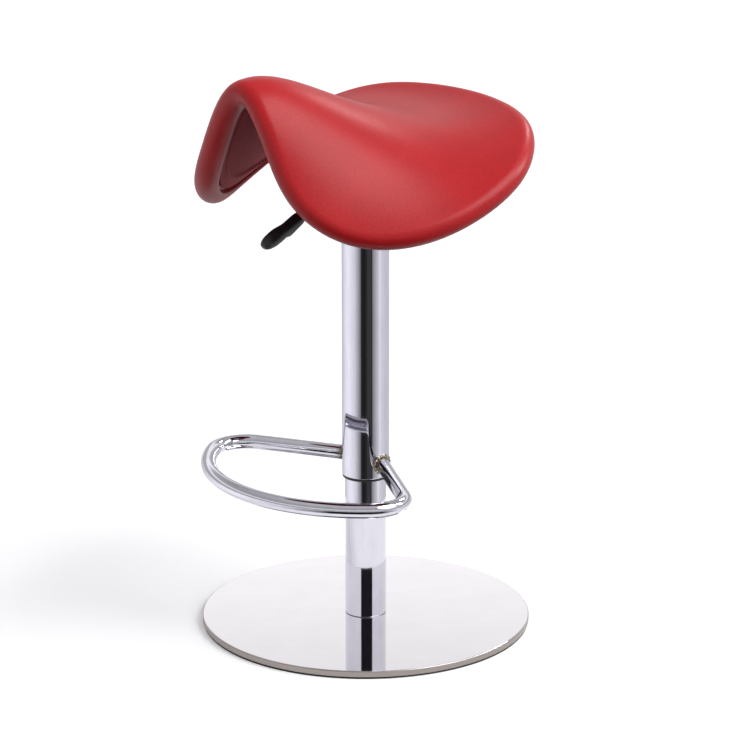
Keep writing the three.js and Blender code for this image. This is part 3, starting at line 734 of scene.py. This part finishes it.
shell = {
    "thickness": 5, "inset": 10.5, "gap": 0.4,
    "band": 15,            # flat border before the ridge
    "ridge": 1.0,          # height of the ridge round the panel
    "panelStep": 2.2,      # the panel lies this much deeper than the border
    "rounding": 1.2,
    "padHalf": 70, "padCorner": 14, "padHeight": 80,   # thick flat-bottomed pad that takes the inserts
    "boreRadius": 4.9, "boreOffset": 50, "boreGap": 0.3,
}


def shellPad(top):  # a rounded block, cut off by a slab that follows the top of the shell
    slab = loft(onSeat, [(reach, 0, top - 60, 0) for reach in np.linspace(0, 0.66, 12)]
                + [(reach, 0, top - 0.2, 0) for reach in np.linspace(0.66, 0, 12)], 96)
    width, height = 2 * shell["padHalf"], shell["padHeight"]
    block = bmesh.new()
    middle = Matrix.Translation((0, 0, nodeBox("seat_insert_1")[0].z + height / 2))
    bmesh.ops.create_cube(block, size=1, matrix=middle @ Matrix.Diagonal((width, width, height, 1)))
    upright = [edge for edge in block.edges if abs(edge.verts[0].co.z - edge.verts[1].co.z) > 1]
    bmesh.ops.bevel(block, geom=upright, offset=shell["padCorner"], offset_type="OFFSET", segments=8,
                    profile=0.5, affect="EDGES", clamp_overlap=True, material=-1)
    return combined(block, slab, "INTERSECT")


def seatShellShape():
    upper = seat["recess"] - seat["half"] - shell["gap"]
    lower = upper - shell["thickness"]
    panel = lower + shell["panelStep"]
    edge, ridge, crest = shell["inset"], shell["inset"] + shell["band"], shell["ridge"]
    below = [(1, ridge + 9, panel, 0), (1, ridge + 6.5, panel, 0), (1, ridge + 5, panel - 0.5, 0),
             (1, ridge + 3.6, lower - 0.3, 0), (1, ridge + 2.4, lower - crest * 0.85, 0),
             (1, ridge + 1.2, lower - crest, 0), (1, ridge, lower - crest * 0.7, 0),
             (1, ridge - 1.5, lower - 0.1, 0), (1, ridge - 4, lower, 0), (1, edge + 8, lower, 0),
             (1, edge + 3, lower, 0)]
    rounding = shell["rounding"]
    rounded = [(1, edge + rounding * (1 - math.cos(a)), lower + rounding * (1 - math.sin(a)), 0)
               for a in np.linspace(math.pi / 2, 0, 5)]
    above = [(1, edge, upper - 0.4, 0), (1, edge + 0.4, upper, 0)]
    inner = [(reach, 0, panel, 0) for reach in np.linspace(0, 0.6, 22)]
    cover = [(reach, 0, upper, 0) for reach in np.linspace(0.86, 0, 14)]
    shape = loft(onSeat, inner + below + rounded + above + cover, seat["slices"])
    shape = combined(shape, shellPad(upper), "UNION")
    low, high = nodeBox("seat_insert_1")
    offset = shell["boreOffset"]
    for x, y in ((-offset, -offset), (-offset, offset), (offset, -offset), (offset, offset)):
        bore = bmesh.new()
        bmesh.ops.create_cone(bore, cap_ends=True, segments=48, radius1=shell["boreRadius"],
                              radius2=shell["boreRadius"], depth=2 * (high.z + shell["boreGap"] - low.z),
                              matrix=Matrix.Translation((x, y, low.z)))
        shape = combined(shape, bore, "DIFFERENCE")
    return shape


addFor("seat_shell", seatShellShape(), sharp=50)


# CAD nodes that keep their own shape get their finishes

for node, slot in nodeSlots.items():
    carried = frame["nodes"][node]
    if not carried.hide_render:
        carried.data.materials.clear()
        carried.data.materials.append(finishes[slot])
print("pieces done")


# Studio

studio = {
    "viewAngle": 49.61, "viewDistance": 3.93, "viewHeight": 1.518, "lens": 164,
    "aimHeight": 0.3125, "aimAside": 0.0114,
    "keyAngle": 116, "keyHeight": 48, "keyStrength": 2.25, "keySpread": 44,
    "worldStrength": 1.0, "paper": "#F7F7F8",
    "paperGlow": 0.14,     # the paper lies on a lit table
    # sine of the height above the horizon, and how bright the room is there
    "skyTones": [(0.0, 0.5), (0.26, 0.55), (0.315, 1.15), (0.343, 1.2), (0.358, 1.1), (0.378, 0.97),
                 (0.43, 0.55), (0.6, 0.42), (1.0, 0.65)],
}


def towards(degrees):  # level direction this far round from straight ahead, towards the rider's left
    return Vector((math.sin(math.radians(degrees)), -math.cos(math.radians(degrees)), 0))


def addCamera():
    camera = bpy.data.objects.new("camera", bpy.data.cameras.new("camera"))
    scene.collection.objects.link(camera)
    camera.location = towards(studio["viewAngle"]) * studio["viewDistance"]
    camera.location.z = studio["viewHeight"]
    aside = towards(studio["viewAngle"] + 90)
    aim = aside * studio["aimAside"] + Vector((0, 0, studio["aimHeight"]))
    camera.rotation_mode = "QUATERNION"
    camera.rotation_quaternion = (aim - camera.location).to_track_quat("-Z", "Y")
    camera.data.lens = studio["lens"]
    camera.data.clip_end = 100
    scene.camera = camera


def addFloor():
    shape = bmesh.new()
    bmesh.ops.create_grid(shape, x_segments=1, y_segments=1, size=25)
    mesh = bpy.data.meshes.new("floor")
    shape.to_mesh(mesh)
    shape.free()
    floor = bpy.data.objects.new("floor", mesh)
    scene.collection.objects.link(floor)
    material, tree, place = newMaterial("seamlessPaper")
    tooth = noise(tree, place, 3)
    finishMaterial(tree, Base_Color=hexColour(studio["paper"]), Roughness=0.9,
                   Normal=bump(tree, tooth, 0.02, 0.3),
                   Emission_Color=(1, 1, 1, 1), Emission_Strength=studio["paperGlow"])
    mesh.materials.append(material)


def lightCard(name, shape, material, shiny=True):  # seen only in reflections, or only as light bounced back
    mesh = bpy.data.meshes.new(name)
    shape.to_mesh(mesh)
    shape.free()
    mesh.materials.append(material)
    card = bpy.data.objects.new(name, mesh)
    scene.collection.objects.link(card)
    card.visible_camera = False
    card.visible_diffuse = not shiny
    card.visible_glossy = shiny
    card.visible_shadow = False
    card.visible_transmission = False


def fillRamp(ramp, tones, tint):  # (position, brightness) pairs, the first at 0 and the last at 1
    stops = ramp.color_ramp.elements
    for number, (position, tone) in enumerate(tones):
        ends = {0: 0, len(tones) - 1: -1}
        stop = stops[ends[number]] if number in ends else stops.new(position)
        stop.color = [tone * part for part in tint] + [1]


def flatRing(radius, growth, height):  # level ring from this radius out to growth times as far
    shape = bmesh.new()
    bmesh.ops.create_circle(shape, cap_ends=False, radius=radius, segments=96)
    outer = drawnOut(shape, shape.edges[:])[0]
    bmesh.ops.scale(shape, vec=(growth, growth, 1), verts=outer)
    bmesh.ops.translate(shape, vec=(0, 0, height), verts=shape.verts)
    return shape


floorCards = {
    "radius": 0.46, "growth": 14, "height": 0.002, "tint": (0.97, 0.96, 1.0),
    # degrees round from the viewer's direction, positive to the viewer's right, and how bright it is there
    "tones": [(-180, 0.6), (-143, 0.76), (-110, 1.19), (-88, 1.26), (-70, 1.1), (-53, 0.93),
              (-37, 0.55), (-26, 0.3), (-20, 0.03), (-7, 0.015), (4, 0.03), (10, 0.055), (24, 0.06),
              (31, 0.03), (35, 0.3), (53, 0.63), (68, 0.9), (73, 1.15), (80, 0.95), (110, 0.81),
              (143, 0.75), (180, 0.6)],
}


def addFloorCards():  # light and dark sheets laid round the stool, which the column mirrors as stripes
    shape = flatRing(floorCards["radius"], floorCards["growth"], floorCards["height"])
    material, tree, place = newMaterial("floorCards")
    facing = addNode(tree, "Mapping", inputs={
        "Vector": place, "Rotation": (0, 0, math.radians(90 - studio["viewAngle"]))}).outputs["Vector"]
    parts = addNode(tree, "SeparateXYZ", inputs={"Vector": facing}).outputs
    angle = addNode(tree, "Math", operation="ARCTAN2", inputs={0: parts["Y"], 1: parts["X"]}).outputs[0]
    share = spread(tree, angle, 0, 1, -math.pi, math.pi)
    ramp = addNode(tree, "ValToRGB", inputs={"Fac": share})
    tones = [((degrees + 180) / 360, tone) for degrees, tone in floorCards["tones"]]
    fillRamp(ramp, tones, floorCards["tint"])
    glow = addNode(tree, "Emission", inputs={"Color": ramp.outputs["Color"], "Strength": 1.0})
    addNode(tree, "OutputMaterial", inputs={"Surface": glow.outputs["Emission"]})
    lightCard("floorCards", shape, material)


def addBounceCard():  # dark cloth: light falls through it to the paper, little comes back up
    cloth = {"radius": 0.21, "growth": 20, "height": 0.001, "colour": "#3A3838"}
    shape = flatRing(cloth["radius"], cloth["growth"], cloth["height"])
    bmesh.ops.recalc_face_normals(shape, faces=shape.faces)
    if shape.faces[:][0].normal.z < 0:
        bmesh.ops.reverse_faces(shape, faces=shape.faces)
    material, tree = newMaterial("bounceCloth")[:2]
    under = addNode(tree, "NewGeometry").outputs["Backfacing"]
    weave = addNode(tree, "BsdfDiffuse", inputs={"Color": hexColour(cloth["colour"])}).outputs["BSDF"]
    clear = addNode(tree, "BsdfTransparent").outputs["BSDF"]
    both = addNode(tree, "MixShader", inputs={0: under, 1: weave, 2: clear}).outputs["Shader"]
    addNode(tree, "OutputMaterial", inputs={"Surface": both})
    lightCard("bounceCard", shape, material, shiny=False)


def addDarkCard():  # upright card that shows only where one shiny part reflects another
    card = {"radius": 1.2, "low": 0.15, "high": 0.9, "from": -26, "to": 37, "steps": 24, "grey": "#202024"}
    shape = bmesh.new()
    first = towards(studio["viewAngle"] + card["from"]) * card["radius"]
    foot = shape.verts.new((first.x, first.y, card["low"]))
    head = shape.verts.new((first.x, first.y, card["high"]))
    side = shape.edges.new((foot, head))
    bmesh.ops.spin(shape, geom=[foot, head, side], cent=(0, 0, 0), axis=(0, 0, 1),
                   angle=math.radians(card["to"] - card["from"]), steps=card["steps"], use_merge=False)
    material, tree = newMaterial("darkCard")[:2]
    depth = addNode(tree, "LightPath").outputs["Glossy Depth"]
    second = addNode(tree, "Math", operation="GREATER_THAN", inputs={0: depth, 1: 1.5}).outputs[0]
    clear = addNode(tree, "BsdfTransparent").outputs["BSDF"]
    dark = addNode(tree, "Emission", inputs={
        "Color": hexColour(card["grey"]), "Strength": 1.0}).outputs["Emission"]
    both = addNode(tree, "MixShader", inputs={0: second, 1: clear, 2: dark}).outputs["Shader"]
    addNode(tree, "OutputMaterial", inputs={"Surface": both})
    lightCard("darkCard", shape, material)


softBoxes = {
    "distance": 2.2, "aimHeight": 0.6,
    # degrees round from the viewer, height above the floor, width, length and brightness
    "boxes": [(100, 1.6, 0.35, 1.0, 15.0), (146, 1.85, 0.4, 0.5, 12.0)],
}


def addSoftBoxes():  # to the viewer's right: they draw the bright line along the seat's edge
    for angle, height, width, tall, brightness in softBoxes["boxes"]:
        spot = towards(studio["viewAngle"] + angle) * softBoxes["distance"] + Vector((0, 0, height))
        aim = Vector((0, 0, softBoxes["aimHeight"])) - spot
        facing = aim.to_track_quat("-Z", "Y").to_matrix().to_4x4()
        shape = bmesh.new()
        bmesh.ops.create_grid(shape, x_segments=1, y_segments=1, size=0.5, matrix=Matrix.Translation(spot)
                              @ facing @ Matrix.Diagonal((width, tall, 1, 1)))
        material, tree = newMaterial("softBox")[:2]
        glow = addNode(tree, "Emission", inputs={"Color": (1, 1, 1, 1), "Strength": brightness})
        addNode(tree, "OutputMaterial", inputs={"Surface": glow.outputs["Emission"]})
        lightCard("softBox", shape, material)


def addWorld():  # soft room: the bright band above eye level is what the floor plate mirrors
    world = bpy.data.worlds.new("softRoom")
    scene.world = world
    world.use_nodes = True
    tree = world.node_tree
    tree.nodes.clear()
    place = addNode(tree, "TexCoord").outputs["Generated"]
    height = addNode(tree, "SeparateXYZ", inputs={"Vector": place}).outputs["Z"]
    ramp = addNode(tree, "ValToRGB", inputs={"Fac": height})
    fillRamp(ramp, studio["skyTones"], (1.0, 0.995, 1.01))
    sky = addNode(tree, "Background", inputs={
        "Color": ramp.outputs["Color"], "Strength": studio["worldStrength"]}).outputs["Background"]
    # a pale wall behind the stool, which lights nothing
    wall = addNode(tree, "Background", inputs={"Color": (1, 1, 1, 1), "Strength": 1.0}).outputs["Background"]
    seen = addNode(tree, "LightPath").outputs["Is Camera Ray"]
    room = addNode(tree, "MixShader", inputs={0: seen, 1: sky, 2: wall})
    addNode(tree, "OutputWorld", inputs={"Surface": room.outputs["Shader"]})


def addKeyLight():
    light = bpy.data.lights.new("key", "SUN")
    light.energy = studio["keyStrength"]
    light.angle = math.radians(studio["keySpread"])
    key = bpy.data.objects.new("key", light)
    scene.collection.objects.link(key)
    high = math.radians(studio["keyHeight"])
    direction = towards(studio["keyAngle"]) * math.cos(high) + Vector((0, 0, math.sin(high)))
    key.rotation_mode = "QUATERNION"
    key.rotation_quaternion = direction.to_track_quat("Z", "Y")


addCamera()
addFloor()
addFloorCards()
addBounceCard()
addDarkCard()
addSoftBoxes()
addWorld()
addKeyLight()
scene.view_settings.view_transform = "Standard"
print("studio ready")
